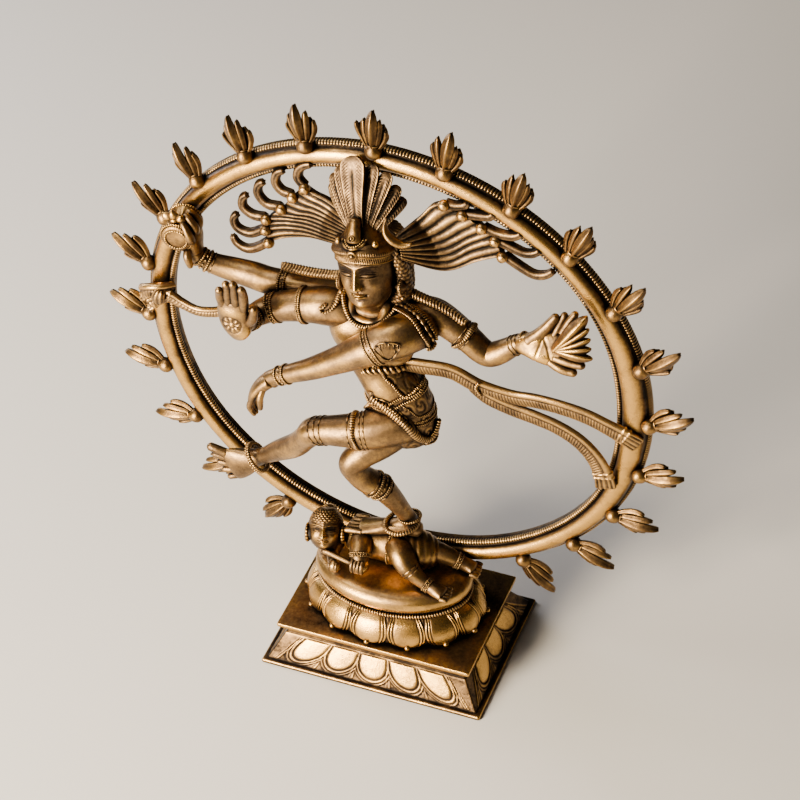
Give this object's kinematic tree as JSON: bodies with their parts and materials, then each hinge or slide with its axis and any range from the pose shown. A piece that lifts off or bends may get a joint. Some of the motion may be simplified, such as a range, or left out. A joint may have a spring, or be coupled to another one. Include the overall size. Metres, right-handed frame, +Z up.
{
  "type": "brass nataraja statue",
  "caption": "Cast brass dancing figure on one leg inside a ring of flames, on a crouching dwarf, an oval lotus cushion and a stepped rectangular plinth.",
  "frame": {"origin": "middle of the plinth's resting face", "axes": "+Z up, -Y the figure's front, +X the viewer's right seen from the front"},
  "size_m": [0.2464, 0.071, 0.272],
  "materials": {
    "cast_brass": "antique brass, satin, worn bright on edges with brown patina in recesses",
    "figure_brass": "antique brass, rubbed to a soft polish on the round forms",
    "chased_brass": "chased antique brass with dark patina left in the cuts"
  },
  "bodies": {
    "root": {"plinth": "cast_brass", "plinth_slab": "cast_brass", "lotus_cushion": "cast_brass", "flame_ring": "cast_brass", "drum": "cast_brass", "palm_flame": "cast_brass", "flame_01": "cast_brass", "flame_02": "cast_brass", "flame_03": "cast_brass", "flame_04": "cast_brass", "flame_05": "cast_brass", "flame_06": "cast_brass", "flame_07": "cast_brass", "flame_08": "cast_brass", "flame_09": "cast_brass", "flame_10": "cast_brass", "flame_11": "cast_brass", "flame_12": "cast_brass", "flame_13": "cast_brass", "flame_14": "cast_brass", "flame_15": "cast_brass", "flame_16": "cast_brass", "flame_17": "cast_brass", "flame_18": "cast_brass", "flame_19": "cast_brass", "flame_20": "cast_brass", "flame_21": "cast_brass", "torso": "figure_brass", "hips": "figure_brass", "head": "figure_brass", "front_right_arm": "figure_brass", "blessing_hand": "figure_brass", "back_right_arm": "figure_brass", "front_left_arm": "figure_brass", "back_left_arm": "figure_brass", "fire_hand": "figure_brass", "raised_leg": "figure_brass", "standing_leg": "figure_brass", "dwarf_body": "figure_brass", "dwarf_head": "figure_brass", "dwarf_arms": "figure_brass", "dwarf_near_leg": "figure_brass", "dwarf_far_leg": "figure_brass", "lotus_petals": "chased_brass", "cord_moulding": "chased_brass", "hip_belt": "chased_brass", "headband": "chased_brass", "crest_ornament": "chased_brass", "crescent_moon": "chased_brass", "feather_crest": "chased_brass", "hair_back": "chased_brass", "hair_fan_right": "chased_brass", "hair_fan_left": "chased_brass", "shoulder_lock_right": "chased_brass", "shoulder_lock_left": "chased_brass", "ear_ornament_right": "chased_brass", "ear_ornament_left": "chased_brass", "necklace": "chased_brass", "waist_sash": "chased_brass", "arm_scarf": "chased_brass"}
  },
  "joints": []
}
